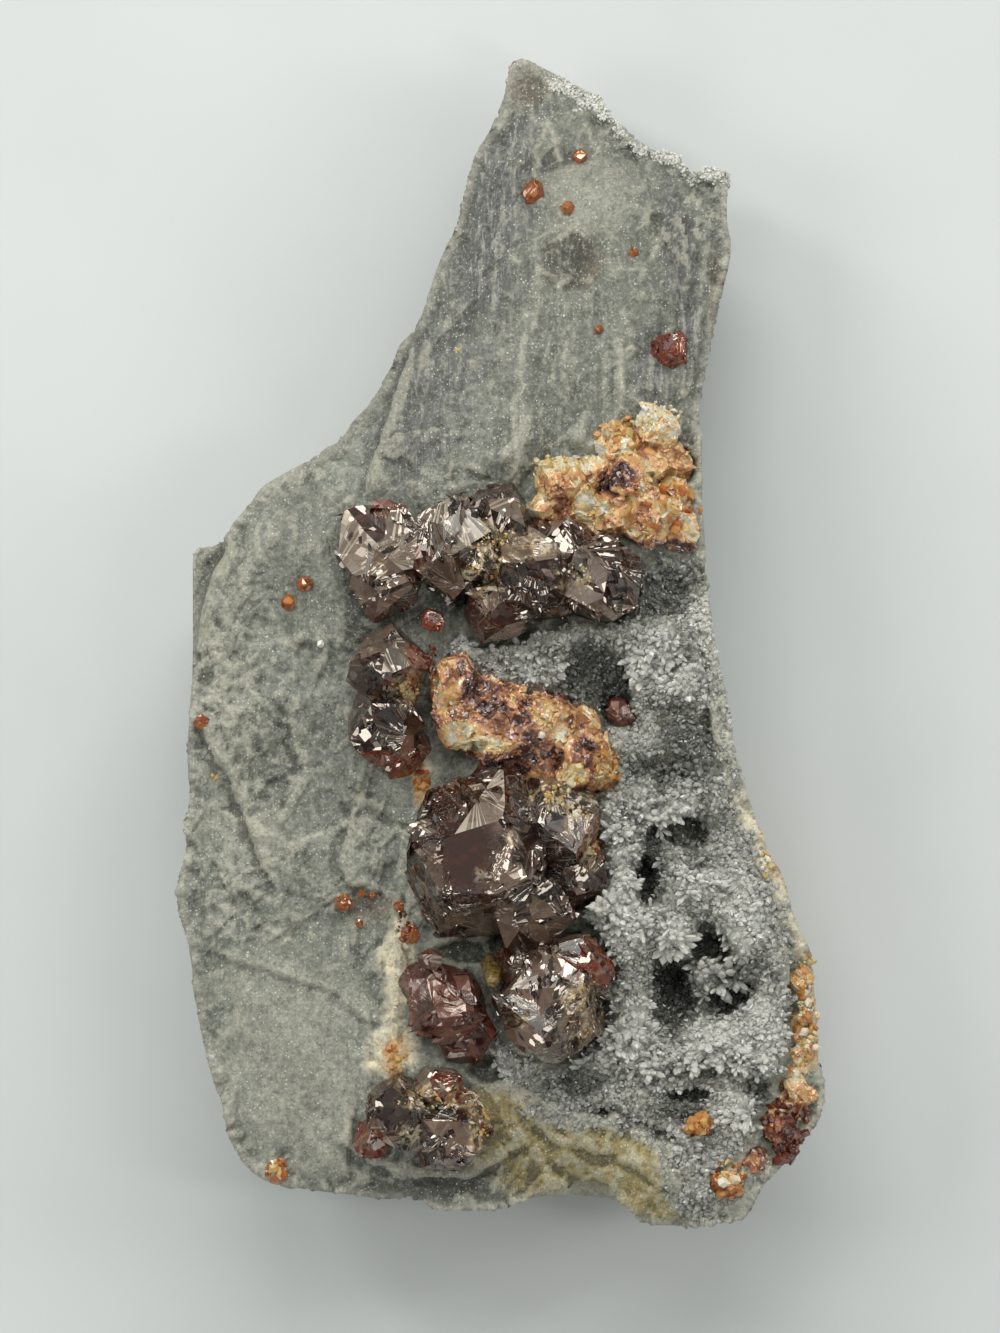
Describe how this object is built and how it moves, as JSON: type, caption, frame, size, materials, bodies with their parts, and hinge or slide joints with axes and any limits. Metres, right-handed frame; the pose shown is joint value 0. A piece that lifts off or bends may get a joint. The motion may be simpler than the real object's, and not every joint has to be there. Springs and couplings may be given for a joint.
{
  "type": "garnet in matrix",
  "caption": "Mineral specimen: dark red-brown garnet crystals and a quartz druse on a broken slab of grey-green rock, laid flat on its back",
  "frame": {"origin": "on the bed the slab lies on, under the middle of the specimen's box", "axes": "+X to the right across the face, +Y along the slab to its narrow tip, +Z out of the face; the flat back is at z = 0"},
  "size_m": [0.0688, 0.1236, 0.0349],
  "materials": {
    "rock": "broken, finely granular grey-green rock",
    "quartz": "translucent grey-white crystal points",
    "dark_garnet": "bright flat crystal faces, very dark red-brown",
    "red_garnet": "bright flat crystal faces, deep red",
    "orange_garnet": "glassy orange to orange-brown grains",
    "epidote": "glassy yellow-olive crystal"
  },
  "bodies": {
    "root": {"edge_garnet_vein": "orange_garnet", "epidote_crystal": "epidote", "garnet_bottom_group": "dark_garnet", "garnet_large": "dark_garnet", "garnet_lower_left": "red_garnet", "garnet_lower_right": "dark_garnet", "garnet_middle_left": "dark_garnet", "garnet_middle_mass": "dark_garnet", "garnet_upper_group": "dark_garnet", "garnet_upper_left": "dark_garnet", "matrix": "rock", "orange_garnet_mass": "orange_garnet", "quartz_druse": "quartz", "small_garnet_between": "red_garnet", "small_garnet_bottom_druse": "orange_garnet", "small_garnet_bottom_left": "orange_garnet", "small_garnet_bottom_right": "orange_garnet", "small_garnet_in_druse": "red_garnet", "small_garnet_left_edge": "orange_garnet", "small_garnet_left_lower": "orange_garnet", "small_garnet_left_upper": "orange_garnet", "small_garnet_low_five": "orange_garnet", "small_garnet_low_four": "orange_garnet", "small_garnet_low_one": "orange_garnet", "small_garnet_low_three": "orange_garnet", "small_garnet_low_two": "orange_garnet", "small_garnet_right": "red_garnet", "small_garnet_seam": "orange_garnet", "small_garnet_speck": "orange_garnet", "small_garnet_tip_large": "orange_garnet", "small_garnet_tip_lower": "orange_garnet", "small_garnet_tip_right": "orange_garnet", "small_garnet_tip_upper": "orange_garnet"}
  },
  "joints": []
}
